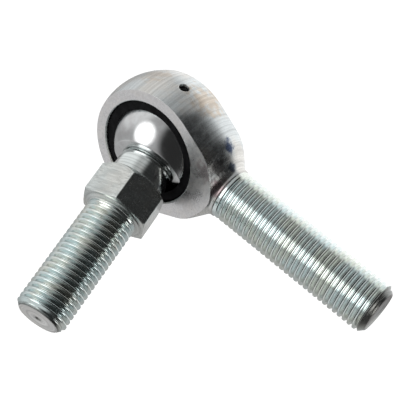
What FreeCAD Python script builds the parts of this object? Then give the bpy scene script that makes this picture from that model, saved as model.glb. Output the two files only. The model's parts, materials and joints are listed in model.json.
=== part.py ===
"""Studded male rod end, 3/8-24 UNF on both threads.

Origin at the centre of the ball. +X runs along the shank to its threaded tip, +Z runs
through the gate hole in the crown, and the eye axis is Y: the stud side faces -Y.
The stud rests leaning away from the eye axis, close to its misalignment limit.
"""
import FreeCAD, Part
import math
import os

from FreeCAD import Rotation, Vector

# ---- driving dimensions, millimetres and degrees ----
THREAD_R = 9.525 / 2            # major radius of both threads
HEAD_R = 12.9                   # spherical crown of the eye
HEAD_HALF_WIDTH = 5.155         # the two flats, each side of the ball centre
SHANK_TIP_X = 48.8
SHANK_THREAD_X = 15.7
NECK_R = 4.95                   # plain neck between the head and the shank's thread
TIP_CHAMFER = 0.95

CROWN_END = 66.5                # degrees from +X where the crown gives way to the cheek
CHEEK_X, CHEEK_R = 11.4, 9.0    # cheek corner, as distance along the shank and radius from it
FILLET_X, FILLET_R = 14.0, 5.95  # where the cheek runs into the neck's fillet
FILLET_MID_X, FILLET_MID_R = 14.75, 5.2
NECK_X = 15.4                   # where the fillet has become the neck

BORE_R = 9.72                   # the eye's bore where it meets the flats
BORE_EDGE = 0.2                 # its edge break
GROOVE_R = 10.6                 # inner groove that locks the moulded race
GROOVE_HALF = 2.6
GROOVE_LIP_HALF = 3.6
GATE_HOLE_R = 0.95
GATE_RECESS = 0.35              # the moulded plug ends this far under the crown

BALL_R = 9.2
BALL_HALF_WIDTH = 6.15
BALL_BORE_R = 4.8
BALL_BORE_EDGE = 0.35
RUNNING_GAP = 0.04              # radial clearance between surfaces that turn
SEAT_GAP = 0.02                 # axial clearance between faces that turn
RACE_HALF_WIDTH = 4.65

REST_LEAN = 25.4                # stud axis from the eye axis
REST_LEAN_TOWARDS = -62.0       # direction of the lean about the eye axis, from +X towards +Z

STUD_NECK_R = 5.1
STUD_NECK_EDGE = 0.4
STUD_HEX_FLATS = 12.2
STUD_HEX_TURN = 39.5            # of the hexagon about the stud
STUD_HEX_BASE = 10.5            # distances along the stud from the ball centre
STUD_HEX_TOP = 17.3
STUD_HEX_TOP_EDGE = 0.2
STUD_BOSS_R = 5.55
STUD_BOSS_DEPTH = 1.0           # how far above the hexagon's base the boss starts inside it
STUD_BOSS_TOP = 17.7
STUD_BOSS_STEP = 0.1            # flat step between the boss's cone and the thread
STUD_TIP = 40.1
STUD_DIMPLE_R = 0.5
STAKE_R = 5.2
STAKE_HEIGHT = 0.5
STAKE_DISH_R = 3.0
STAKE_DISH_DEPTH = 1.2

OVERCUT = 1.0                   # how far cutting tools run past the faces they cut
ORIGIN = Vector(0, 0, 0)
X_AXIS = Vector(1, 0, 0)
Y_AXIS = Vector(0, 1, 0)
Z_AXIS = Vector(0, 0, 1)


def stud_direction():
    """Unit vector along the stud at rest: from the ball centre out through its thread."""
    lean = math.radians(REST_LEAN)
    towards = math.radians(REST_LEAN_TOWARDS)
    side = Vector(math.cos(towards), 0, math.sin(towards))
    return side * math.sin(lean) - Y_AXIS * math.cos(lean)


def revolved(points, axis):
    """Solid of revolution about an axis through the origin, from the corners of its outline."""
    outline = Part.makePolygon(points + [points[0]])
    return Part.Face(outline).revolve(ORIGIN, axis, 360)


def turned_about_y(pairs):
    """Solid of revolution about Y from (radius, distance along Y) pairs."""
    return revolved([Vector(radius, along, 0) for radius, along in pairs], Y_AXIS)


def turned_about_z(pairs):
    """Solid of revolution about Z from (radius, distance along Z) pairs."""
    return revolved([Vector(radius, 0, along) for radius, along in pairs], Z_AXIS)


def mirrored_pairs(pairs):
    """A half outline of (radius, along) pairs followed by its mirror image, for a closed ring."""
    return pairs + [(radius, -along) for radius, along in reversed(pairs)]


def crown_point(degrees):
    """Point of the spherical crown's outline, at an angle from +X."""
    angle = math.radians(degrees)
    return Vector(HEAD_R * math.cos(angle), HEAD_R * math.sin(angle), 0)


def rod_end_blank():
    """Turned blank: spherical crown, tapered cheek, fillet into the neck, thread at its major size."""
    back = crown_point(180)
    crown_via = crown_point((180 + CROWN_END) / 2)
    crown_end = crown_point(CROWN_END)
    cheek = Vector(CHEEK_X, CHEEK_R, 0)
    fillet_start = Vector(FILLET_X, FILLET_R, 0)
    fillet_via = Vector(FILLET_MID_X, FILLET_MID_R, 0)
    corners = [
        Vector(NECK_X, NECK_R, 0),
        Vector(SHANK_THREAD_X, NECK_R, 0),
        Vector(SHANK_THREAD_X, THREAD_R, 0),
        Vector(SHANK_TIP_X - TIP_CHAMFER, THREAD_R, 0),
        Vector(SHANK_TIP_X, THREAD_R - TIP_CHAMFER, 0),
        Vector(SHANK_TIP_X, 0, 0),
        back,
    ]
    edges = [
        Part.Arc(back, crown_via, crown_end).toShape(),
        Part.makeLine(crown_end, cheek),
        Part.makeLine(cheek, fillet_start),
        Part.Arc(fillet_start, fillet_via, corners[0]).toShape(),
    ]
    edges += [Part.makeLine(start, end) for start, end in zip(corners, corners[1:])]
    return Part.Face(Part.Wire(edges)).revolve(ORIGIN, X_AXIS, 360)


def bore_half_outline(shrink):
    """Half outline of the eye's bore, groove to flat, moved inwards by shrink."""
    return [
        (GROOVE_R - shrink, GROOVE_HALF - shrink),
        (BORE_R - shrink, GROOVE_LIP_HALF - shrink),
    ]


def eye_bore():
    """Tool that cuts the bore: straight lips with edge breaks, and the locking groove inside."""
    half = bore_half_outline(0)
    half += [
        (BORE_R, HEAD_HALF_WIDTH - BORE_EDGE),
        (BORE_R + BORE_EDGE + OVERCUT, HEAD_HALF_WIDTH + OVERCUT),
        (0, HEAD_HALF_WIDTH + OVERCUT),
    ]
    return turned_about_y(mirrored_pairs(half))


def rod_end_body():
    """Zinc-plated steel eye and shank in one piece, with the bore and the gate hole."""
    slab_length = HEAD_R + SHANK_TIP_X + 2 * OVERCUT
    slab = Part.makeBox(slab_length, 2 * HEAD_HALF_WIDTH, 4 * HEAD_R)
    slab.translate(Vector(-HEAD_R - OVERCUT, -HEAD_HALF_WIDTH, -2 * HEAD_R))
    body = rod_end_blank().common(slab).cut(eye_bore())
    gate = Part.makeCylinder(GATE_HOLE_R, HEAD_R, Vector(0, 0, BORE_R), Z_AXIS)
    return body.cut(gate)


def gate_plug():
    """Moulding gate: the nylon that fills the small radial hole in the crown."""
    start = GROOVE_R + SEAT_GAP
    length = HEAD_R - GATE_RECESS - start
    return Part.makeCylinder(GATE_HOLE_R - SEAT_GAP, length, Vector(0, 0, start), Z_AXIS)


def race():
    """Moulded nylon race: outside keyed into the groove, inside a spherical seat for the ball."""
    half = bore_half_outline(RUNNING_GAP)
    half += [(BORE_R - RUNNING_GAP, RACE_HALF_WIDTH), (0, RACE_HALF_WIDTH)]
    blank = turned_about_y(mirrored_pairs(half))
    return blank.cut(Part.makeSphere(BALL_R + RUNNING_GAP))


def along_stud(shape):
    """Turn a shape built on +Z onto the stud's rest direction."""
    placed = shape.copy()
    placed.Placement = FreeCAD.Placement(ORIGIN, Rotation(Z_AXIS, stud_direction()))
    return placed


def ball():
    """Truncated steel ball with a straight bore, its bore edges broken."""
    sphere = Part.makeSphere(BALL_R)
    block = Part.makeBox(4 * BALL_R, 4 * BALL_R, 2 * BALL_HALF_WIDTH)
    block.translate(Vector(-2 * BALL_R, -2 * BALL_R, -BALL_HALF_WIDTH))
    half = [
        (BALL_BORE_R, BALL_HALF_WIDTH - BALL_BORE_EDGE),
        (BALL_BORE_R + BALL_BORE_EDGE + OVERCUT, BALL_HALF_WIDTH + OVERCUT),
        (0, BALL_HALF_WIDTH + OVERCUT),
    ]
    bore = turned_about_z(mirrored_pairs(half))
    return along_stud(sphere.common(block).cut(bore))


def stud_hexagon():
    """Wrench hexagon: corners turned off at 45 degrees towards the ball, slightly at the top."""
    corner_r = STUD_HEX_FLATS / math.sqrt(3)
    flat_r = STUD_HEX_FLATS / 2
    corners = []
    for k in range(6):
        angle = math.radians(60 * k + STUD_HEX_TURN)
        corners.append(Vector(corner_r * math.cos(angle), corner_r * math.sin(angle), STUD_HEX_BASE))
    outline = Part.makePolygon(corners + [corners[0]])
    prism = Part.Face(outline).extrude(Z_AXIS * (STUD_HEX_TOP - STUD_HEX_BASE))
    turned = corner_r - flat_r
    envelope = turned_about_z([
        (0, STUD_HEX_BASE),
        (flat_r, STUD_HEX_BASE),
        (corner_r, STUD_HEX_BASE + turned),
        (corner_r, STUD_HEX_TOP - STUD_HEX_TOP_EDGE),
        (corner_r - 2 * STUD_HEX_TOP_EDGE, STUD_HEX_TOP),
        (0, STUD_HEX_TOP),
    ])
    return prism.common(envelope)


def stud():
    """Stud: staked spigot through the ball, neck, hexagon, boss and thread at its major size."""
    seat = BALL_HALF_WIDTH + SEAT_GAP
    spigot_r = BALL_BORE_R - RUNNING_GAP
    turned = turned_about_z([
        (0, -seat - STAKE_HEIGHT + STAKE_DISH_DEPTH),
        (STAKE_DISH_R, -seat - STAKE_HEIGHT),
        (STAKE_R - STAKE_HEIGHT / 2, -seat - STAKE_HEIGHT),
        (STAKE_R, -seat - STAKE_HEIGHT / 2),
        (STAKE_R, -seat),
        (spigot_r, -seat),
        (spigot_r, seat),
        (STUD_NECK_R, seat + STUD_NECK_EDGE),
        (STUD_NECK_R, STUD_HEX_BASE + STUD_BOSS_DEPTH),
        (STUD_BOSS_R, STUD_HEX_BASE + STUD_BOSS_DEPTH),
        (STUD_BOSS_R, STUD_HEX_TOP),
        (THREAD_R + STUD_BOSS_STEP, STUD_BOSS_TOP),
        (THREAD_R, STUD_BOSS_TOP),
        (THREAD_R, STUD_TIP - TIP_CHAMFER),
        (THREAD_R - TIP_CHAMFER, STUD_TIP),
        (STUD_DIMPLE_R, STUD_TIP),
        (0, STUD_TIP - STUD_DIMPLE_R),
    ])
    return along_stud(turned.fuse(stud_hexagon()).removeSplitter())


NODES = {
    "rod_end_body": rod_end_body,
    "gate_plug": gate_plug,
    "race": race,
    "ball": ball,
    "stud": stud,
}


def main():
    """Build every sub-part and write one STEP file for each."""
    os.makedirs("parts", exist_ok=True)
    for name, build in NODES.items():
        shape = build()
        solids = len(shape.Solids)
        print(f"{name}: {solids} solid, valid {shape.isValid()}, {shape.Volume:.1f} mm3")
        shape.exportStep(f"parts/{name}.step")


main()
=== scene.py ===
"""Studded rod end bearing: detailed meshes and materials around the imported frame.

Shapes are worked out in millimetres, each in its own frame, and scaled to metres when the piece is made.
"""
import json
import math

import bmesh
import bpy
from mathutils import Euler, Matrix, Vector

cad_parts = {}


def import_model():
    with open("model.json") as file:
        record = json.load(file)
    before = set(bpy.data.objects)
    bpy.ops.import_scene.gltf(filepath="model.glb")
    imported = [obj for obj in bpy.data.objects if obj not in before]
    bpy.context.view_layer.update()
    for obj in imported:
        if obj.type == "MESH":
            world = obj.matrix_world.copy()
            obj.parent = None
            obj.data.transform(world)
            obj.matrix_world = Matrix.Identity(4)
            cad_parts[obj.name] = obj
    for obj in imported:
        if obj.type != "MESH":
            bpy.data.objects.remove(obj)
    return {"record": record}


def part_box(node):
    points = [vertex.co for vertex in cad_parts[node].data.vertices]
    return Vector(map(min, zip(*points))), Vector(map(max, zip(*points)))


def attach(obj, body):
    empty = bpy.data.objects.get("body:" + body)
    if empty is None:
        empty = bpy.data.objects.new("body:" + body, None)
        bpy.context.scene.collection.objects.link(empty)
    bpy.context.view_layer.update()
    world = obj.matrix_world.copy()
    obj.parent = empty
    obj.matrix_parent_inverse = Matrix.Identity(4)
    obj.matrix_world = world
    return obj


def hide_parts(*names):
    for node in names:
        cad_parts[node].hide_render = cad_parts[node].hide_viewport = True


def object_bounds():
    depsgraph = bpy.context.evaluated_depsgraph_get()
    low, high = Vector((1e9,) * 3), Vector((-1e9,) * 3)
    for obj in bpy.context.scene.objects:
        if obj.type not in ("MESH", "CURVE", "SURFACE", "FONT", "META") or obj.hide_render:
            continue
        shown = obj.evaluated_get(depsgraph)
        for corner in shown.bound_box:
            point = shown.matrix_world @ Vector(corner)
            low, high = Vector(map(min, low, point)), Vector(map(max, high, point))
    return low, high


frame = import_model()
cad_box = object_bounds()

MM = 0.001
mounts = {mount["name"]: mount for mount in frame["record"]["mounts"]}


def threaded_span(name):
    """Radius, start and end of a threaded mount along its own axis, from the ball centre, in mm."""
    mount = mounts[name]
    middle = Vector(mount["pos_m"]).dot(Vector(mount["axis"])) / MM
    half = mount["dims"]["length_mm"] / 2
    return mount["dims"]["r_mm"], middle - half, middle + half


def node_box(node):
    """Lowest and highest corners of a CAD node, in mm."""
    low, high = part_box(node)
    return Vector(low) / MM, Vector(high) / MM


# ---- sizes read from the frame, in mm ----
THREAD_R, SHANK_START, SHANK_END = threaded_span("shank_thread")
STUD_START, STUD_END = threaded_span("stud_thread")[1:]
head_low, head_high = node_box("rod_end_body")
HEAD_R = -head_low.x
HALF_WIDTH = head_high.y
SHANK_TIP = head_high.x
race_low, race_high = node_box("race")
RACE_HALF_WIDTH = race_high.y
RACE_KEY_R = race_high.z
PLUG_BOTTOM = node_box("gate_plug")[0].z
PLUG_TOP = node_box("gate_plug")[1].z
PLUG_R = node_box("gate_plug")[1].x
STUD_AXIS = Vector(mounts["stud_thread"]["axis"])

# ---- the two threads, in mm, which the CAD has as plain cylinders ----
PITCH = 25.4 / 24               # 3/8-24 UNF
THREAD_DEPTH = 0.57
THREAD_STEP = 0.05              # between a shoulder and the start of its thread
THREAD_RUN_IN = 1.2 * PITCH     # over which the groove grows to its full depth

# ---- other sizes, in mm and degrees, the same as the CAD's ----
RUNNING_GAP = 0.04
SEAT_GAP = 0.02
TIP_CHAMFER = SHANK_TIP - SHANK_END
CROWN_END = 66.5
CHEEK_X, CHEEK_R = 11.4, 9.0
FILLET_X, FILLET_R = 14.0, 5.95
FILLET_MID_X, FILLET_MID_R = 14.75, 5.2
NECK_X, NECK_R = 15.4, 4.95
BORE_R = 9.72
BORE_EDGE = 0.2
GROOVE_R = 10.6
GROOVE_HALF = 2.6
GROOVE_LIP_HALF = 3.6
GATE_R = PLUG_R + SEAT_GAP
BALL_R = 9.2
BALL_HALF_WIDTH = 6.15
BALL_BORE_R = 4.8
SEAT_R = BALL_R + RUNNING_GAP
STUD_NECK_R = 5.1
HEX_FLAT_R = 12.2 / 2
HEX_TURN = 39.5
HEX_BASE, HEX_TOP = 10.5, 17.3
BOSS_R = 5.55
SPIGOT_R = BALL_BORE_R - RUNNING_GAP
STUD_SEAT = BALL_HALF_WIDTH + SEAT_GAP
STAKE_R = 5.2
STAKE_HEIGHT = 0.5
STAKE_DISH_R = 3.0
STAKE_DISH_DEPTH = 1.2

# ---- mesh fineness ----
HALF_COLUMNS = 72               # columns across each half of the shank and across the crown
CROWN_ROWS = 180
ROUND_STEPS = 4                 # segments in each rounded profile corner
CHEEK_STEPS = 15                # stations along the cheek, its corner, its run to the neck, and the fillet
CHEEK_CORNER_STEPS = 8
CHEEK_END_STEPS = 9
FILLET_STEPS = 24
SEAT_STEPS = 40
BALL_STEPS = 72
LATHE_COLUMNS = 192

# ---- places in each mesh's list of materials, after the turned surface at 0 ----
BODY_FLAT, BODY_THREAD, BODY_EDGE = 1, 2, 3
STUD_THREAD, STUD_NECK, STUD_END_FACE = 1, 2, 3


# ------------------------------------------------------------------ mesh building
def curve(start, corner, end, t):
    """Point a share t along the curve from start to end that is drawn towards a corner."""
    return start * (1 - t) ** 2 + corner * (2 * t * (1 - t)) + end * t ** 2


def rounded_outline(corners):
    """Points of an outline whose corners are (radius, along, rounding), rounded where rounding > 0."""
    points = []
    count = len(corners)
    for index, (radius, along, rounding) in enumerate(corners):
        here = Vector((radius, along))
        if rounding == 0 or index in (0, count - 1):
            points.append(here)
            continue
        before = Vector(corners[index - 1][:2]) - here
        after = Vector(corners[index + 1][:2]) - here
        reach = min(rounding, 0.45 * before.length, 0.45 * after.length)
        start = here + before.normalized() * reach
        end = here + after.normalized() * reach
        for step in range(ROUND_STEPS + 1):
            points.append(curve(start, here, end, step / ROUND_STEPS))
    return points


def arc_corners(radius, start, end, steps):
    """Corners along an arc about the origin, from one angle above the radial axis to another, in degrees."""
    corners = []
    for step in range(steps + 1):
        angle = math.radians(start + (end - start) * step / steps)
        corners.append((radius * math.cos(angle), radius * math.sin(angle), 0))
    return corners


def link_rows(bm, rows, around=True, closed=False):
    """Quads between neighbouring rows of vertices.

    around joins each row's ends, and closed joins the last row to the first.
    """
    pairs = list(zip(rows, rows[1:]))
    if closed:
        pairs.append((rows[-1], rows[0]))
    for lower, upper in pairs:
        count = len(lower)
        for column in range(count if around else count - 1):
            following = (column + 1) % count
            corners = [lower[column], lower[following], upper[following], upper[column]]
            unique = list(dict.fromkeys(corners))
            if len(unique) > 2:
                bm.faces.new(unique)


def even_angles(columns):
    """Angles of evenly spaced columns, in radians."""
    return [2 * math.pi * column / columns for column in range(columns)]


def turned_rows(bm, angles, outlines):
    """Vertices about Z: one outline of (radius, along) points per angle, returned row by row."""
    rows = []
    for index in range(len(outlines[0])):
        row = []
        for angle, outline in zip(angles, outlines):
            radius, along = outline[index]
            row.append(bm.verts.new((radius * math.cos(angle), radius * math.sin(angle), along)))
        rows.append(row)
    return rows


def thread_profile():
    """Pairs of (place within the pitch, groove depth from 0 to 1), crest to crest, at 60 degrees."""
    flank = [(0.0, 0.0), (0.11, 0.0), (0.135, 0.04), (0.28, 0.5), (0.425, 0.96), (0.45, 0.995)]
    mirrored = [(1 - place, depth) for place, depth in reversed(flank[1:])]
    return flank + [(0.5, 1.0)] + mirrored


def smooth(value):
    """Smooth step from 0 to 1."""
    value = min(1, max(0, value))
    return value * value * (3 - 2 * value)


def thread_rows(angles, start, tip, chamfer, run_in):
    """Rows of (radius, along, angle) on a right-hand helix, from a clean ring at start to one at tip.

    Rows before start and past tip collapse onto those rings, and the mesh is welded later.
    """
    profile = thread_profile()
    turns = int((tip - start) / PITCH) + 3
    rows = []
    for turn in range(turns):
        for place, depth in profile:
            row = []
            for angle in angles:
                along = start + PITCH * (turn - 1 + place + angle / (2 * math.pi))
                along = min(tip, max(start, along))
                fade = smooth((along - start) / run_in)
                radius = THREAD_R - THREAD_DEPTH * depth * fade
                to_tip = tip - along
                if to_tip < chamfer:
                    radius = min(radius, THREAD_R - chamfer + to_tip)
                row.append((radius, along, angle))
            rows.append(row)
    return rows


def helix_faces(bm, rows, per_turn):
    """Quads along a helical grid, where each row runs on into the row one turn further along."""
    for index in range(len(rows) - 1):
        lower, upper = rows[index], rows[index + 1]
        for column in range(len(lower) - 1):
            bm.faces.new([lower[column], lower[column + 1], upper[column + 1], upper[column]])
        if index + per_turn + 1 < len(rows):
            next_lower, next_upper = rows[index + per_turn][0], rows[index + per_turn + 1][0]
            bm.faces.new([lower[-1], next_lower, next_upper, upper[-1]])


def weld(bm, distance=1e-4):
    """Merge coincident vertices and drop what collapses."""
    bmesh.ops.remove_doubles(bm, verts=bm.verts, dist=distance)
    bmesh.ops.dissolve_degenerate(bm, edges=bm.edges, dist=distance)
    loose = [vert for vert in bm.verts if not vert.link_faces]
    bmesh.ops.delete(bm, geom=loose, context="VERTS")
    bmesh.ops.recalc_face_normals(bm, faces=bm.faces)


def make_piece(name, bm, turn, materials, body, node):
    """Turn a mesh in its own millimetre frame into a piece that stands for a CAD node and rides its body."""
    local = bm.verts.layers.float_vector.new("local")
    for vert in bm.verts:
        vert[local] = vert.co
    bm.transform(turn @ Matrix.Scale(MM, 4))
    for face in bm.faces:
        face.smooth = True
    mesh = bpy.data.meshes.new(name)
    bm.to_mesh(mesh)
    bm.free()
    for material in materials:
        mesh.materials.append(material)
    piece = bpy.data.objects.new(name, mesh)
    bpy.context.scene.collection.objects.link(piece)
    normals = piece.modifiers.new("even_normals", "WEIGHTED_NORMAL")
    normals.weight = 60
    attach(piece, body)
    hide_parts(node)
    return piece


# ------------------------------------------------------------------ rod end body
def body_stations():
    """(x, radius) stations of the blank from the end of the crown to the start of the thread."""
    start = math.radians(CROWN_END)
    points = [Vector((HEAD_R * math.cos(start), HEAD_R * math.sin(start)))]
    corners = [points[0], Vector((CHEEK_X, CHEEK_R)), Vector((FILLET_X, FILLET_R))]
    cheek_rounding = 1.3
    first = corners[1] + (corners[0] - corners[1]).normalized() * cheek_rounding
    second = corners[1] + (corners[2] - corners[1]).normalized() * cheek_rounding
    for step in range(1, CHEEK_STEPS):
        points.append(corners[0].lerp(first, step / CHEEK_STEPS))
    for step in range(CHEEK_CORNER_STEPS + 1):
        points.append(curve(first, corners[1], second, step / CHEEK_CORNER_STEPS))
    for step in range(1, CHEEK_END_STEPS):
        points.append(second.lerp(corners[2], step / CHEEK_END_STEPS))
    neck = Vector((NECK_X, NECK_R))
    middle = Vector((FILLET_MID_X, FILLET_MID_R)) * 2 - (corners[2] + neck) / 2
    for step in range(FILLET_STEPS + 1):
        points.append(curve(corners[2], middle, neck, step / FILLET_STEPS))
    return points


def split_stations(points):
    """Stations cut by the flats, one exactly where the radius equals the half width, and the rest."""
    cut = [point for point in points if point.y > HALF_WIDTH]
    whole = [point for point in points if point.y <= HALF_WIDTH]
    last, following = cut[-1], whole[0]
    share = (last.y - HALF_WIDTH) / (last.y - following.y)
    nose = last.lerp(following, share)
    nose.y = HALF_WIDTH
    return cut, nose, whole


def half_ring(bm, x, radius, middle):
    """Vertices across one side of the blank at x, within the flats, right-handed about X."""
    reach = math.asin(min(1, HALF_WIDTH / radius))
    row = []
    for column in range(HALF_COLUMNS + 1):
        angle = math.radians(middle) + reach * (2 * column / HALF_COLUMNS - 1)
        row.append(bm.verts.new((x, radius * math.cos(angle), radius * math.sin(angle))))
    return row


def crown_rows(bm, top, bottom, x_end):
    """Grid over the spherical crown, from the top station round the back to the bottom one."""
    rows = [top]
    for index in range(1, CROWN_ROWS):
        row = []
        for vert in top:
            y = vert.co.y
            ring_r = math.sqrt(HEAD_R ** 2 - y ** 2)
            first = math.acos(x_end / ring_r)
            angle = first + (2 * math.pi - 2 * first) * index / CROWN_ROWS
            row.append(bm.verts.new((ring_r * math.cos(angle), y, ring_r * math.sin(angle))))
        rows.append(row)
    rows.append(list(reversed(bottom)))
    return rows


def gate_window(rows):
    """Row and column limits of the crown cells around the gate hole."""
    margin = 0.36
    half = GATE_R + margin
    middle = HALF_COLUMNS // 2
    inside = [i for i, row in enumerate(rows) if abs(row[middle].co.x) < half and row[middle].co.z > 0]
    across = [k for k, vert in enumerate(rows[inside[0]]) if abs(vert.co.y) < half]
    return inside[0], inside[-1], across[0], across[-1]


def crown_with_gate(bm, rows):
    """Faces of the crown grid with a round blind hole let into it at +Z."""
    low, high, left, right = gate_window(rows)
    for i, (lower, upper) in enumerate(zip(rows, rows[1:])):
        for k in range(HALF_COLUMNS):
            if not (low <= i < high and left <= k < right):
                bm.faces.new([lower[k], lower[k + 1], upper[k + 1], upper[k]])
    edge = [rows[low][k] for k in range(left, right)]
    edge += [rows[i][right] for i in range(low, high)]
    edge += [rows[high][k] for k in range(right, left, -1)]
    edge += [rows[i][left] for i in range(high, low, -1)]

    def ring(radius, share, drop):
        """Ring between the window's edge and the hole, on the sphere, or below it by drop."""
        made = []
        for vert in edge:
            flat = Vector((vert.co.x, vert.co.y))
            spot = flat.normalized() * radius * share + flat * (1 - share)
            height = math.sqrt(HEAD_R ** 2 - spot.length_squared) - drop
            made.append(bm.verts.new((spot.x, spot.y, height)))
        return made

    mouth = GATE_R + 0.07
    rings = [edge, ring(mouth, 0.4, 0), ring(mouth, 0.75, 0), ring(mouth, 1, 0)]
    rings += [ring(GATE_R + 0.02, 1, 0.025), ring(GATE_R, 1, 0.08)]
    floor = []
    for vert in rings[-1]:
        floor.append(bm.verts.new((vert.co.x, vert.co.y, PLUG_BOTTOM)))
    rings.append(floor)
    link_rows(bm, rings)
    bm.faces.new(floor)


def flat_rings(bm, outer, side):
    """Rings of a flat from its outline to the edge of the bore, on the side given by the sign of Y."""
    rings = [outer]
    for share in (0.04, 0.35, 0.65, 0.95, 1.0):
        ring = []
        for vert in outer:
            spot = Vector((vert.co.x, vert.co.z))
            inner = spot.normalized() * (BORE_R + BORE_EDGE)
            placed = spot.lerp(inner, share)
            ring.append(bm.verts.new((placed.x, side * HALF_WIDTH, placed.y)))
        rings.append(ring)
    return rings


def bore_rings(bm, outer):
    """Rings down the bore from the -Y flat to the +Y flat, with the groove that locks the race."""
    half = [
        (BORE_R + 0.05, -HALF_WIDTH + 0.12),
        (BORE_R, -HALF_WIDTH + BORE_EDGE + 0.03),
        (BORE_R, -GROOVE_LIP_HALF),
        (GROOVE_R, -GROOVE_HALF),
    ]
    profile = half + [(radius, -along) for radius, along in reversed(half)]
    rings = []
    for radius, along in profile:
        ring = []
        for vert in outer:
            spot = Vector((vert.co.x, vert.co.z)).normalized() * radius
            ring.append(bm.verts.new((spot.x, along, spot.y)))
        rings.append(ring)
    return rings


def mark_bevel(bm, loop):
    """Give the edges of a closed loop of vertices full bevel weight."""
    weights = bm.edges.layers.float.get("bevel_weight_edge") or bm.edges.layers.float.new("bevel_weight_edge")
    for index, vert in enumerate(loop):
        edge = bm.edges.get((vert, loop[(index + 1) % len(loop)]))
        edge[weights] = 1.0


def break_edges(piece):
    """Round the marked edges of a piece, before its normals are evened out."""
    edge_break = 0.16
    bevel = piece.modifiers.new("edge_break", "BEVEL")
    bevel.limit_method = "WEIGHT"
    bevel.width = edge_break * MM
    bevel.segments = 3
    bevel.material = BODY_EDGE
    bevel.harden_normals = True
    piece.modifiers.move(len(piece.modifiers) - 1, 0)


def rod_end_body():
    """Eye, neck and threaded shank as one closed mesh."""
    bm = bmesh.new()
    cut, nose, whole = split_stations(body_stations())
    tops = [half_ring(bm, point.x, point.y, 90) for point in cut]
    bottoms = [half_ring(bm, point.x, point.y, 270) for point in cut]
    nose_top = half_ring(bm, nose.x, nose.y, 90)
    nose_bottom = half_ring(bm, nose.x, nose.y, 270)
    for spare in (nose_bottom[0], nose_bottom[-1]):
        bm.verts.remove(spare)
    nose_bottom[0], nose_bottom[-1] = nose_top[-1], nose_top[0]
    crown = crown_rows(bm, tops[0], bottoms[0], cut[0].x)
    crown_with_gate(bm, crown)
    link_rows(bm, tops + [nose_top], around=False)
    link_rows(bm, bottoms + [nose_bottom], around=False)

    front = [row[HALF_COLUMNS] for row in crown]
    front += [row[0] for row in bottoms[1:]] + [nose_top[-1]]
    front += [row[-1] for row in reversed(tops[1:])]
    back = [row[0] for row in crown]
    back += [row[-1] for row in bottoms[1:]] + [nose_top[0]]
    back += [row[0] for row in reversed(tops[1:])]
    front_rings = flat_rings(bm, front, -1)
    back_rings = flat_rings(bm, back, 1)
    middle_rings = bore_rings(bm, front)
    link_rows(bm, front_rings + middle_rings + list(reversed(back_rings)))

    angles = [math.pi * column / HALF_COLUMNS for column in range(2 * HALF_COLUMNS)]

    def ring(radius, along):
        """Full ring about X."""
        return [bm.verts.new((along, radius * math.cos(a), radius * math.sin(a))) for a in angles]

    rings = [nose_top + nose_bottom[1:-1]]
    rings += [ring(point.y, point.x) for point in whole]
    shoulder = [
        (NECK_R, SHANK_START - 0.12),
        (NECK_R - 0.03, SHANK_START - 0.03),
        (THREAD_R + 0.03, SHANK_START),
    ]
    rings += [ring(radius, along) for radius, along in shoulder]
    thread_start = SHANK_START + THREAD_STEP
    thread = thread_rows(angles, thread_start, SHANK_TIP, TIP_CHAMFER, THREAD_RUN_IN)
    helix = []
    for row in thread:
        helix.append([bm.verts.new((x, r * math.cos(a), r * math.sin(a))) for r, x, a in row])
    rings.append(ring(THREAD_R, thread_start))
    link_rows(bm, rings)
    helix_faces(bm, helix, len(thread_profile()))
    tip = [ring(THREAD_R - TIP_CHAMFER, SHANK_TIP)]
    for radius, inset in ((3.4, 0.0), (2.3, 0.03), (1.2, 0.03), (0.6, 0.1)):
        tip.append(ring(radius, SHANK_TIP - inset))
    link_rows(bm, tip)
    bm.faces.new(tip[-1])
    weld(bm)
    for loop in (front, back):
        mark_bevel(bm, loop)
    for face in bm.faces:
        middle = face.calc_center_median()
        if abs(middle.y) > HALF_WIDTH - 0.001:
            face.material_index = BODY_FLAT
        elif middle.x > thread_start:
            face.material_index = BODY_THREAD
    piece = make_piece(
        "rod_end_eye_and_shank", bm, Matrix.Identity(4), [zinc_steel, zinc_flat, zinc_thread, zinc_edge],
        "housing", "rod_end_body"
    )
    break_edges(piece)
    return piece


# ------------------------------------------------------------------ the other pieces
def lathe_piece(name, outline, turn, material, body, node, closed):
    """Piece turned about its own Z from one outline; closed joins the outline's ends into a ring."""
    bm = bmesh.new()
    angles = even_angles(LATHE_COLUMNS)
    rows = turned_rows(bm, angles, [outline] * LATHE_COLUMNS)
    link_rows(bm, rows, closed=closed)
    if not closed:
        bm.faces.new(rows[0])
        bm.faces.new(rows[-1])
    weld(bm)
    return make_piece(name, bm, turn, [material], body, node)


def gate_plug():
    """Nylon sprue left in the gate hole: slightly sunk, with the torn nib of its gate."""
    outline = rounded_outline([
        (0.05, PLUG_BOTTOM, 0),
        (PLUG_R, PLUG_BOTTOM, 0),
        (PLUG_R, PLUG_TOP - 0.12, 0.1),
        (0.55, PLUG_TOP - 0.12, 0.06),
        (0.42, PLUG_TOP, 0.05),
        (0.05, PLUG_TOP, 0),
    ])
    return lathe_piece(
        "gate_sprue", outline, Matrix.Identity(4), black_nylon, "housing", "gate_plug", False
    )


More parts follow.
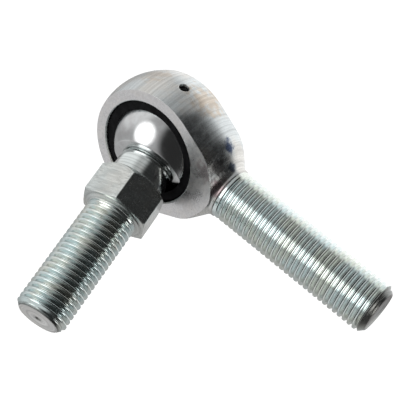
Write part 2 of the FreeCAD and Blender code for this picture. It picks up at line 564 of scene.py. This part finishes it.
def race():
    """Moulded race: keyed outside, spherical seat inside, small lips at the seat's mouth."""
    mouth_r = math.sqrt(SEAT_R ** 2 - RACE_HALF_WIDTH ** 2)
    mouth_angle = math.degrees(math.asin(RACE_HALF_WIDTH / SEAT_R))
    outer_r = BORE_R - RUNNING_GAP
    key_half = GROOVE_HALF - RUNNING_GAP
    lip_half = GROOVE_LIP_HALF - RUNNING_GAP
    corners = arc_corners(SEAT_R, -mouth_angle + 1.0, mouth_angle - 1.0, SEAT_STEPS)
    corners += [
        (mouth_r + 0.03, RACE_HALF_WIDTH, 0.06),
        (outer_r - 0.12, RACE_HALF_WIDTH, 0.1),
        (outer_r, RACE_HALF_WIDTH - 0.15, 0.1),
        (outer_r, lip_half, 0),
        (RACE_KEY_R, key_half, 0),
        (RACE_KEY_R, -key_half, 0),
        (outer_r, -lip_half, 0),
        (outer_r, -RACE_HALF_WIDTH + 0.15, 0.1),
        (outer_r - 0.12, -RACE_HALF_WIDTH, 0.1),
        (mouth_r + 0.03, -RACE_HALF_WIDTH, 0.06),
        (mouth_r + 0.02, -RACE_HALF_WIDTH + 0.04, 0),
    ]
    turn = Matrix.Rotation(math.radians(-90), 4, "X")
    return lathe_piece(
        "moulded_race", rounded_outline(corners), turn, black_nylon, "race_ring", "race", True
    )


def stud_turn():
    """Rotation from a mesh built on +Z to the stud's rest direction."""
    return Vector((0, 0, 1)).rotation_difference(STUD_AXIS).to_matrix().to_4x4()


def ball():
    """Polished ball with its bore and two flats."""
    rim = math.degrees(math.asin(BALL_HALF_WIDTH / BALL_R))
    corners = arc_corners(BALL_R, -rim, rim, BALL_STEPS)
    corners[-1] = corners[-1][:2] + (0.12,)
    corners += [
        (BALL_BORE_R + 0.35, BALL_HALF_WIDTH, 0.05),
        (BALL_BORE_R, BALL_HALF_WIDTH - 0.35, 0.05),
        (BALL_BORE_R, -BALL_HALF_WIDTH + 0.35, 0.05),
        (BALL_BORE_R + 0.35, -BALL_HALF_WIDTH, 0.05),
    ]
    return lathe_piece(
        "polished_ball", rounded_outline(corners), stud_turn(), polished_steel, "ball_body", "ball",
        True
    )


def hexagon_radius(angle, rounding=0.2):
    """Radius of the hexagon with rounded corners at an angle from one of its corners, in radians."""
    sextant = math.pi / 3
    off = abs((angle + sextant / 2) % sextant - sextant / 2)
    centre = (HEX_FLAT_R - rounding) / math.cos(math.pi / 6)
    flat = HEX_FLAT_R / math.cos(math.pi / 6 - off)
    under_root = rounding ** 2 - (centre * math.sin(off)) ** 2
    if under_root <= 0:
        return flat
    corner = centre * math.cos(off) + math.sqrt(under_root)
    on_arc = corner * math.sin(off) <= rounding * math.sin(math.pi / 6)
    return corner if on_arc else flat


def stud_angles():
    """Angles of the stud's columns from a hexagon corner, closer together at the six corners."""
    near = [0, 0.3, 0.6, 0.85, 1.1, 1.5]
    degrees = near + [2.5 * step for step in range(1, 24)] + [60 - offset for offset in reversed(near[1:])]
    return [math.radians(60 * side + offset) for side in range(6) for offset in degrees]


def stud_outline(angle):
    """Outline of the stud from its staked end to the start of its thread, at one angle."""
    side = hexagon_radius(angle)
    corner = HEX_FLAT_R / math.cos(math.pi / 6)
    chamfer_r = HEX_FLAT_R - 0.1
    top_cut = 0.05 + 0.4 * smooth((side - HEX_FLAT_R) / (corner - HEX_FLAT_R))
    return rounded_outline([
        (0.3, -STUD_SEAT - STAKE_HEIGHT + STAKE_DISH_DEPTH, 0),
        (STAKE_DISH_R, -STUD_SEAT - STAKE_HEIGHT, 0.25),
        (STAKE_R, -STUD_SEAT - STAKE_HEIGHT, 0.3),
        (STAKE_R, -STUD_SEAT, 0.05),
        (SPIGOT_R, -STUD_SEAT, 0.05),
        (SPIGOT_R, STUD_SEAT, 0.05),
        (STUD_NECK_R, STUD_SEAT + 0.4, 0.15),
        (STUD_NECK_R, HEX_BASE, 0.3),
        (chamfer_r, HEX_BASE, 0.05),
        (side, HEX_BASE + side - chamfer_r, 0.12),
        (side, HEX_TOP - top_cut / 2, 0.06),
        (side - top_cut, HEX_TOP, 0.06),
        (BOSS_R + 0.08, HEX_TOP, 0.06),
        (BOSS_R, HEX_TOP + 0.08, 0.04),
        (BOSS_R - 0.12, HEX_TOP + 0.16, 0.05),
        (THREAD_R + 0.16, STUD_START - 0.06, 0.05),
        (THREAD_R + 0.03, STUD_START, 0.0),
        (THREAD_R, STUD_START + THREAD_STEP, 0),
    ])


def stud():
    """Staked spigot, neck, hexagon, boss and thread as one closed mesh."""
    bm = bmesh.new()
    offsets = stud_angles()
    angles = [offset + math.radians(HEX_TURN) for offset in offsets]
    rows = turned_rows(bm, angles, [stud_outline(offset) for offset in offsets])
    link_rows(bm, rows)
    bm.faces.new(rows[0])
    tip = STUD_END + TIP_CHAMFER
    thread_start = STUD_START + THREAD_STEP
    first = angles[0]
    helix = []
    from_first = [angle - first for angle in angles]
    for row in thread_rows(from_first, thread_start, tip, TIP_CHAMFER, THREAD_RUN_IN):
        made = []
        for radius, along, offset in row:
            angle = offset + first
            made.append(bm.verts.new((radius * math.cos(angle), radius * math.sin(angle), along)))
        helix.append(made)
    helix_faces(bm, helix, len(thread_profile()))
    end_face = [(THREAD_R - TIP_CHAMFER, tip), (3.4, tip)]
    end_face += [(0.62, tip), (0.5, tip - 0.06), (0.3, tip - 0.28), (0.08, tip - 0.45)]     # centre dimple
    end_rows = turned_rows(bm, angles, [end_face] * len(angles))
    link_rows(bm, end_rows)
    bm.faces.new(end_rows[-1])
    weld(bm)
    for face in bm.faces:
        along = face.calc_center_median().z
        if thread_start < along < tip - 0.001:
            face.material_index = STUD_THREAD
        elif along < HEX_BASE - 0.05:
            face.material_index = STUD_NECK
        elif along > STUD_START:
            face.material_index = STUD_END_FACE
    return make_piece(
        "threaded_stud", bm, stud_turn(), [zinc_stud, zinc_stud_thread, zinc_neck, zinc_end],
        "stud_body", "stud"
    )


# ------------------------------------------------------------------ materials
def add_node(tree, kind, inputs=(), **settings):
    """Add a shader node; inputs pairs a socket name or number with a value or another node's socket."""
    made = tree.nodes.new(kind)
    for key, value in settings.items():
        setattr(made, key, value)
    for key, value in dict(inputs).items():
        if isinstance(value, bpy.types.NodeSocket):
            tree.links.new(value, made.inputs[key])
        else:
            made.inputs[key].default_value = value
    return made


def calculate(tree, operation, first, second=0.0):
    """Result of a Math node on one or two values."""
    return add_node(tree, "ShaderNodeMath", {0: first, 1: second}, operation=operation).outputs[0]


def compare(tree, operation, first, second):
    """Number that a Vector Math node gives for two vectors."""
    return add_node(tree, "ShaderNodeVectorMath", {0: first, 1: second}, operation=operation).outputs["Value"]


def shaded_by(tree, colour, factor):
    """Colour times a factor."""
    inputs = {0: colour, "Scale": factor}
    return add_node(tree, "ShaderNodeVectorMath", inputs, operation="SCALE").outputs[0]


def remap(tree, value, low, high, to_low=0.0, to_high=1.0):
    """Value moved from one range to another and clamped to it."""
    inputs = {"Value": value, "From Min": low, "From Max": high, "To Min": to_low, "To Max": to_high}
    return add_node(tree, "ShaderNodeMapRange", inputs, interpolation_type="SMOOTHSTEP").outputs["Result"]


def mix_colours(tree, share, first, second):
    """Blend of two colours, each a socket or an (r, g, b)."""
    made = add_node(tree, "ShaderNodeMix", data_type="RGBA")
    for key, value in ((0, share), (6, first), (7, second)):
        if isinstance(value, bpy.types.NodeSocket):
            tree.links.new(value, made.inputs[key])
        else:
            made.inputs[key].default_value = value if key == 0 else (*value, 1)
    return made.outputs[2]


def cloud(tree, place, scale, detail=3.0, rough=0.55):
    """Noise from 0 to 1 at a place; scale is in features per millimetre."""
    inputs = {"Vector": place, "Scale": scale, "Detail": detail, "Roughness": rough}
    return add_node(tree, "ShaderNodeTexNoise", inputs).outputs["Fac"]


def stretched(tree, place, stretch):
    """Place scaled by its own amount along each axis, which draws noise out into streaks."""
    return add_node(tree, "ShaderNodeMapping", {"Vector": place, "Scale": stretch}).outputs["Vector"]


def start_material(name):
    """New material with its tree, its principled shader and the piece's own millimetre position."""
    material = bpy.data.materials.new(name)
    material.use_nodes = True
    tree = material.node_tree
    place = add_node(tree, "ShaderNodeAttribute", attribute_name="local").outputs["Vector"]
    return material, tree, tree.nodes["Principled BSDF"], place


def radius_about(tree, place, axis):
    """Distance from an axis of the piece's own frame, and the position along it."""
    parts = add_node(tree, "ShaderNodeSeparateXYZ", {0: place}).outputs
    across = [part for part in parts if part.name != axis]
    squares = [calculate(tree, "MULTIPLY", part, part) for part in across]
    return calculate(tree, "SQRT", calculate(tree, "ADD", *squares)), parts[axis]


def ring_place(tree, place, axis, drift=0.04):
    """Coordinates for turning marks, nearly constant round an axis: radius, distance along, drift."""
    radius, along = radius_about(tree, place, axis)
    wander = cloud(tree, place, drift, detail=1.0)
    inputs = {"X": radius, "Y": along, "Z": wander}
    return add_node(tree, "ShaderNodeCombineXYZ", inputs).outputs[0]


def bumped(tree, shader, height, strength, distance):
    """Drive the shader's normal from a height, with a distance in metres."""
    inputs = {"Height": height, "Strength": strength, "Distance": distance}
    normal = add_node(tree, "ShaderNodeBump", inputs).outputs[0]
    tree.links.new(normal, shader.inputs["Normal"])


def dust_and_nicks(tree, place, scale):
    """Sparse small marks: 1 in a mark, 0 elsewhere."""
    inputs = {"Vector": place, "Scale": scale, "Randomness": 1.0}
    distance = add_node(tree, "ShaderNodeTexVoronoi", inputs).outputs["Distance"]
    gate = remap(tree, cloud(tree, place, scale * 0.35, detail=1.0), 0.56, 0.62)
    return calculate(tree, "MULTIPLY", remap(tree, distance, 0.16, 0.04), gate)


def with_stains_and_reflections(tree, place, base, stains_and_reflections):
    """Base colour with ragged stains and painted reflections, each a centre and a radius in mm, a colour and
    a strength.
    """
    ragged = calculate(tree, "SUBTRACT", cloud(tree, place, 0.8, detail=4.0), 0.5)
    for centre, radius, colour, strength in stains_and_reflections:
        away = compare(tree, "DISTANCE", place, centre)
        edge = calculate(tree, "ADD", away, calculate(tree, "MULTIPLY", ragged, 2.4 * radius))
        share = remap(tree, edge, radius, radius * 0.35, 0.0, strength)
        base = mix_colours(tree, share, base, colour)
    return base


def turned_zinc(name, axis, cool, warm, rough_low, rough_high, stains_and_reflections=()):
    """Bright zinc plate on a turned surface: fine rings about the axis, faint tints, stains and painted
    reflections, small nicks.
    """
    material, tree, shader, place = start_material(name)
    rings = ring_place(tree, place, axis)
    coarse = cloud(tree, stretched(tree, rings, (2.2, 2.2, 2.0)), 1.0, detail=2.0)
    fine = cloud(tree, stretched(tree, rings, (14.0, 14.0, 6.0)), 1.0, detail=4.0, rough=0.7)
    tint = cloud(tree, place, 0.16, detail=3.0)
    marks = dust_and_nicks(tree, place, 1.3)
    # The crown's list paints dark reflections as well as stains.
    base = with_stains_and_reflections(tree, place, mix_colours(tree, remap(tree, tint, 0.42, 0.62), cool, warm), stains_and_reflections)
    lines = remap(tree, fine, 0.35, 0.65, 0.9, 1.04)
    shade = calculate(tree, "MULTIPLY", remap(tree, coarse, 0.3, 0.7, 0.8, 1.08), lines)
    shaded = shaded_by(tree, base, shade)
    worn = mix_colours(tree, calculate(tree, "MULTIPLY", marks, 0.45), shaded, (0.12, 0.12, 0.11))
    tree.links.new(worn, shader.inputs["Base Color"])
    patchy = cloud(tree, place, 0.9, detail=4.0)
    half_fine = calculate(tree, "MULTIPLY", fine, 0.5)
    half_patchy = calculate(tree, "MULTIPLY", patchy, 0.5)
    blend = calculate(tree, "ADD", half_fine, half_patchy)
    tree.links.new(remap(tree, blend, 0.35, 0.65, rough_low, rough_high), shader.inputs["Roughness"])
    shader.inputs["Metallic"].default_value = 1.0
    height = calculate(tree, "SUBTRACT", fine, calculate(tree, "MULTIPLY", marks, 0.8))
    bumped(tree, shader, height, 0.1, 0.00002)
    return material


def flat_zinc():
    """Zinc plate on the eye's flats: duller, finely brushed, with faint stains and a painted reflection."""
    material, tree, shader, place = start_material("zinc_flat")
    brushed = cloud(tree, stretched(tree, place, (9.0, 1.0, 0.9)), 1.0, detail=4.0, rough=0.65)
    mottle = cloud(tree, place, 0.5, detail=5.0, rough=0.6)
    base = mix_colours(tree, remap(tree, mottle, 0.4, 0.62), (0.68, 0.675, 0.685), (0.73, 0.715, 0.71))
    # One entry of this list is a painted reflection of the stud's hexagon.
    base = with_stains_and_reflections(tree, place, base, FLAT_STAINS_AND_REFLECTIONS)
    speckle = remap(tree, cloud(tree, place, 3.0, detail=3.0, rough=0.7), 0.3, 0.7, 0.88, 1.06)
    base = shaded_by(tree, base, speckle)
    marks = dust_and_nicks(tree, place, 1.1)
    worn = mix_colours(tree, calculate(tree, "MULTIPLY", marks, 0.4), base, (0.2, 0.19, 0.18))
    tree.links.new(worn, shader.inputs["Base Color"])
    tree.links.new(remap(tree, mottle, 0.3, 0.7, 0.25, 0.37), shader.inputs["Roughness"])
    shader.inputs["Metallic"].default_value = 1.0
    bumped(tree, shader, brushed, 0.4, 0.00004)
    return material


def threaded_zinc(name, axis, tip, cool, warm):
    """Zinc plate on a rolled thread: bright flanks and crests, painted shade in the roots, and darker at the
    tip, more so towards +Z.
    """
    material, tree, shader, place = start_material(name)
    radius, along = radius_about(tree, place, axis)
    # Painted shade: the deepest part of each thread root is darkened towards dark brown.
    root_shade = remap(tree, radius, THREAD_R - THREAD_DEPTH + 0.08, THREAD_R - THREAD_DEPTH + 0.01)
    patchy = cloud(tree, place, 0.8, detail=4.0)
    ragged_along = calculate(tree, "ADD", along, calculate(tree, "MULTIPLY", patchy, 0.5))
    height = add_node(tree, "ShaderNodeSeparateXYZ", {0: place}).outputs["Z"]
    upper = remap(tree, height, -4.0, 0.0, 0.25, 1.0)
    # Darker towards dark brown at the tip's chamfer and end face, with a ragged edge, stronger towards +Z.
    chamfer = remap(tree, ragged_along, tip - 1.05, tip - 0.75, 0.0, 0.72)
    end = remap(tree, along, tip - 0.06, tip - 0.01, 0.0, 0.24)
    at_tip = calculate(tree, "MULTIPLY", calculate(tree, "ADD", chamfer, end), upper)
    # Painted shade in the roots, together with the darkening at the tip, sets how far the colour goes to dark
    # brown and how much rougher it gets.
    root_shade_and_tip_darkening = calculate(tree, "MAXIMUM", calculate(tree, "MULTIPLY", root_shade, 0.3), at_tip)
    tint = cloud(tree, place, 0.22, detail=3.0)
    base = mix_colours(tree, remap(tree, tint, 0.40, 0.62), cool, warm)
    dullness = calculate(tree, "MULTIPLY", remap(tree, patchy, 0.5, 0.75), 0.3)
    dull = mix_colours(tree, dullness, base, (0.36, 0.39, 0.36))
    darkened_colour = mix_colours(tree, root_shade_and_tip_darkening, dull, (0.07, 0.055, 0.05))
    marks = dust_and_nicks(tree, place, 1.6)
    worn = mix_colours(tree, calculate(tree, "MULTIPLY", marks, 0.5), darkened_colour, (0.08, 0.08, 0.07))
    tree.links.new(worn, shader.inputs["Base Color"])
    grain = cloud(tree, place, 3.5, detail=4.0, rough=0.65)
    rough = remap(tree, grain, 0.3, 0.7, 0.12, 0.2)
    darkened_rough = calculate(tree, "ADD", rough, calculate(tree, "MULTIPLY", root_shade_and_tip_darkening, 0.2))
    tree.links.new(darkened_rough, shader.inputs["Roughness"])
    shader.inputs["Metallic"].default_value = 1.0
    bumped(tree, shader, grain, 0.2, 0.00004)
    return material


def polished_chrome():
    """Polished ball: faint lines round the stud's axis and a light haze."""
    material, tree, shader, place = start_material("polished_steel")
    rings = ring_place(tree, place, "Z")
    fine = cloud(tree, stretched(tree, rings, (10.0, 10.0, 5.0)), 1.0, detail=3.0, rough=0.6)
    haze = cloud(tree, place, 0.7, detail=5.0, rough=0.6)
    base = mix_colours(tree, remap(tree, haze, 0.35, 0.65), (0.70, 0.715, 0.72), (0.63, 0.63, 0.635))
    tree.links.new(base, shader.inputs["Base Color"])
    tree.links.new(remap(tree, haze, 0.3, 0.7, 0.1, 0.2), shader.inputs["Roughness"])
    shader.inputs["Metallic"].default_value = 1.0
    bumped(tree, shader, fine, 0.12, 0.00003)
    return material


def moulded_nylon():
    """Black moulded nylon: satin, with a fine moulded grain and a faint haze."""
    material, tree, shader, place = start_material("black_nylon")
    grain = cloud(tree, place, 6.0, detail=4.0, rough=0.6)
    haze = cloud(tree, place, 0.8, detail=3.0)
    base = mix_colours(tree, remap(tree, haze, 0.35, 0.7), (0.003, 0.003, 0.0034), (0.008, 0.008, 0.009))
    tree.links.new(base, shader.inputs["Base Color"])
    tree.links.new(remap(tree, grain, 0.3, 0.7, 0.4, 0.55), shader.inputs["Roughness"])
    shader.inputs["Specular IOR Level"].default_value = 0.05
    bumped(tree, shader, grain, 0.25, 0.00006)
    return material


def plain_material(name, colour, roughness, glow=0.0):
    """Even matt surface, for the stage."""
    material = bpy.data.materials.new(name)
    material.use_nodes = True
    shader = material.node_tree.nodes["Principled BSDF"]
    shader.inputs["Base Color"].default_value = (*colour, 1)
    shader.inputs["Roughness"].default_value = roughness
    shader.inputs["Emission Color"].default_value = (*colour, 1)
    shader.inputs["Emission Strength"].default_value = glow
    return material


# Stains left by plating and handling, and painted dark reflections: centre and radius in mm, colour,
# strength.
CROWN_STAINS_AND_REFLECTIONS = [
    # Painted reflections: the first four, dark blue, purple and grey on the cheek beside the neck.
    ((12.0, 0.2, 8.4), 1.6, (0.05, 0.08, 0.17), 0.92),
    ((14.3, -0.4, 5.6), 1.1, (0.08, 0.11, 0.17), 0.85),
    ((15.2, -3.8, 3.1), 2.0, (0.34, 0.22, 0.24), 0.7),
    ((13.2, -3.2, 6.2), 2.1, (0.16, 0.15, 0.15), 0.8),
    # Stains from plating and handling: the rest.
    ((4.0, 2.2, 12.0), 4.5, (0.58, 0.46, 0.34), 0.6),
    ((-6.5, 0.5, 11.0), 3.5, (0.62, 0.52, 0.42), 0.5),
    ((-9.0, -1.0, -8.5), 3.0, (0.55, 0.46, 0.36), 0.5),
]
FLAT_STAINS_AND_REFLECTIONS = [
    # Painted reflection of the stud's hexagon on the flat facing -Y.
    ((12.0, -5.2, 5.0), 2.4, (0.36, 0.29, 0.30), 0.6),
    # Stains from plating and handling: the rest.
    ((-6.0, -5.2, -9.6), 1.6, (0.50, 0.44, 0.40), 0.4),
    ((-10.0, 5.2, -5.0), 2.2, (0.46, 0.40, 0.36), 0.5),
]

zinc_steel = turned_zinc(
    "zinc_turned", "X", (0.67, 0.71, 0.72), (0.71, 0.70, 0.67), 0.2, 0.32, CROWN_STAINS_AND_REFLECTIONS
)
zinc_edge = turned_zinc("zinc_edge", "Y", (0.86, 0.88, 0.88), (0.88, 0.88, 0.86), 0.18, 0.3)
zinc_flat = flat_zinc()
zinc_thread = threaded_zinc("zinc_thread", "X", SHANK_TIP, (0.72, 0.80, 0.80), (0.75, 0.79, 0.74))
zinc_stud = turned_zinc("zinc_stud_turned", "Z", (0.66, 0.70, 0.69), (0.70, 0.71, 0.68), 0.23, 0.28)
PAST_STUD_TIP = STUD_END + TIP_CHAMFER + 0.9       # past the stud's end, so that its tip is hardly darkened
zinc_stud_thread = threaded_zinc("zinc_stud_thread", "Z", PAST_STUD_TIP, (0.70, 0.80, 0.80), (0.78, 0.81, 0.76))
zinc_end = turned_zinc("zinc_end", "Z", (0.90, 0.90, 0.89), (0.93, 0.92, 0.90), 0.55, 0.65)
zinc_neck = turned_zinc("zinc_neck", "Z", (0.82, 0.87, 0.86), (0.86, 0.86, 0.83), 0.08, 0.16)
polished_steel = polished_chrome()
black_nylon = moulded_nylon()

rod_end_body()
gate_plug()
race()
ball()
stud()


# ------------------------------------------------------------------ stage
def floor():
    """Plain pale floor well under the part: partly self-lit, and left out of reflections."""
    bm = bmesh.new()
    half = 3.0
    level = cad_box[0].z - 0.06
    corners = [(-half, -half), (half, -half), (half, half), (-half, half)]
    bm.faces.new([bm.verts.new((x, y, level)) for x, y in corners])
    mesh = bpy.data.meshes.new("floor")
    bm.to_mesh(mesh)
    bm.free()
    mesh.materials.append(plain_material("pale_floor", (0.9, 0.9, 0.9), 0.9, glow=0.7))
    made = bpy.data.objects.new("floor", mesh)
    made.visible_glossy = False
    bpy.context.scene.collection.objects.link(made)


def camera():
    """Camera at the photograph's viewing angle: a 99 mm lens, above the eye's face and to its right."""
    data = bpy.data.cameras.new("camera")
    data.sensor_width = 36
    data.lens = 99
    data.shift_x = -0.003
    data.shift_y = 0.003
    made = bpy.data.objects.new("camera", data)
    made.location = Vector((71.65, -134.44, 127.74)) * MM
    made.rotation_euler = Euler([math.radians(a) for a in (45.588, -16.292, 39.619)])
    bpy.context.scene.collection.objects.link(made)
    bpy.context.scene.camera = made


# Plain soft studio, all neutral: azimuth (0 is -Y, 90 is +X), elevation, radius of the even middle and
# radius where it fades out, in degrees, and brightness. Later ones lie over earlier ones.
ROOM_BRIGHTNESS = 0.45
SOFT_LIGHTS = {
    "back_light": (180, 0, 30, 50, 1.2),
    "left_wall": (-100, 20, 25, 50, 0.85),
    "low_front": (-20, -40, 20, 45, 0.7),
    "dark_side": (80, 30, 45, 65, 0.03),
    "dark_low_right": (50, -35, 15, 35, 0.03),
    "right_light": (95, -5, 8, 15, 3.0),
    "main_light": (-30, 25, 15, 30, 2.4),
}


def direction(azimuth, elevation):
    """Unit vector of an azimuth and elevation in degrees."""
    a, e = math.radians(azimuth), math.radians(elevation)
    return (math.sin(a) * math.cos(e), -math.cos(a) * math.cos(e), math.sin(e))


def world():
    """Studio surroundings from a few soft lights; the camera itself sees plain white behind the part."""
    made = bpy.data.worlds.new("studio")
    made.use_nodes = True
    tree = made.node_tree
    where = add_node(tree, "ShaderNodeTexCoord").outputs["Generated"]
    colour = (ROOM_BRIGHTNESS,) * 3
    for azimuth, elevation, middle, edge, brightness in SOFT_LIGHTS.values():
        near = compare(tree, "DOT_PRODUCT", where, direction(azimuth, elevation))
        share = remap(tree, near, math.cos(math.radians(edge)), math.cos(math.radians(middle)))
        colour = mix_colours(tree, share, colour, (brightness,) * 3)
    seen = add_node(tree, "ShaderNodeLightPath").outputs["Is Camera Ray"]
    colour = mix_colours(tree, seen, colour, (1.0, 1.0, 1.0))
    tree.links.new(colour, tree.nodes["Background"].inputs["Color"])
    bpy.context.scene.world = made


floor()
camera()
world()
bpy.context.scene.view_settings.view_transform = "Standard"
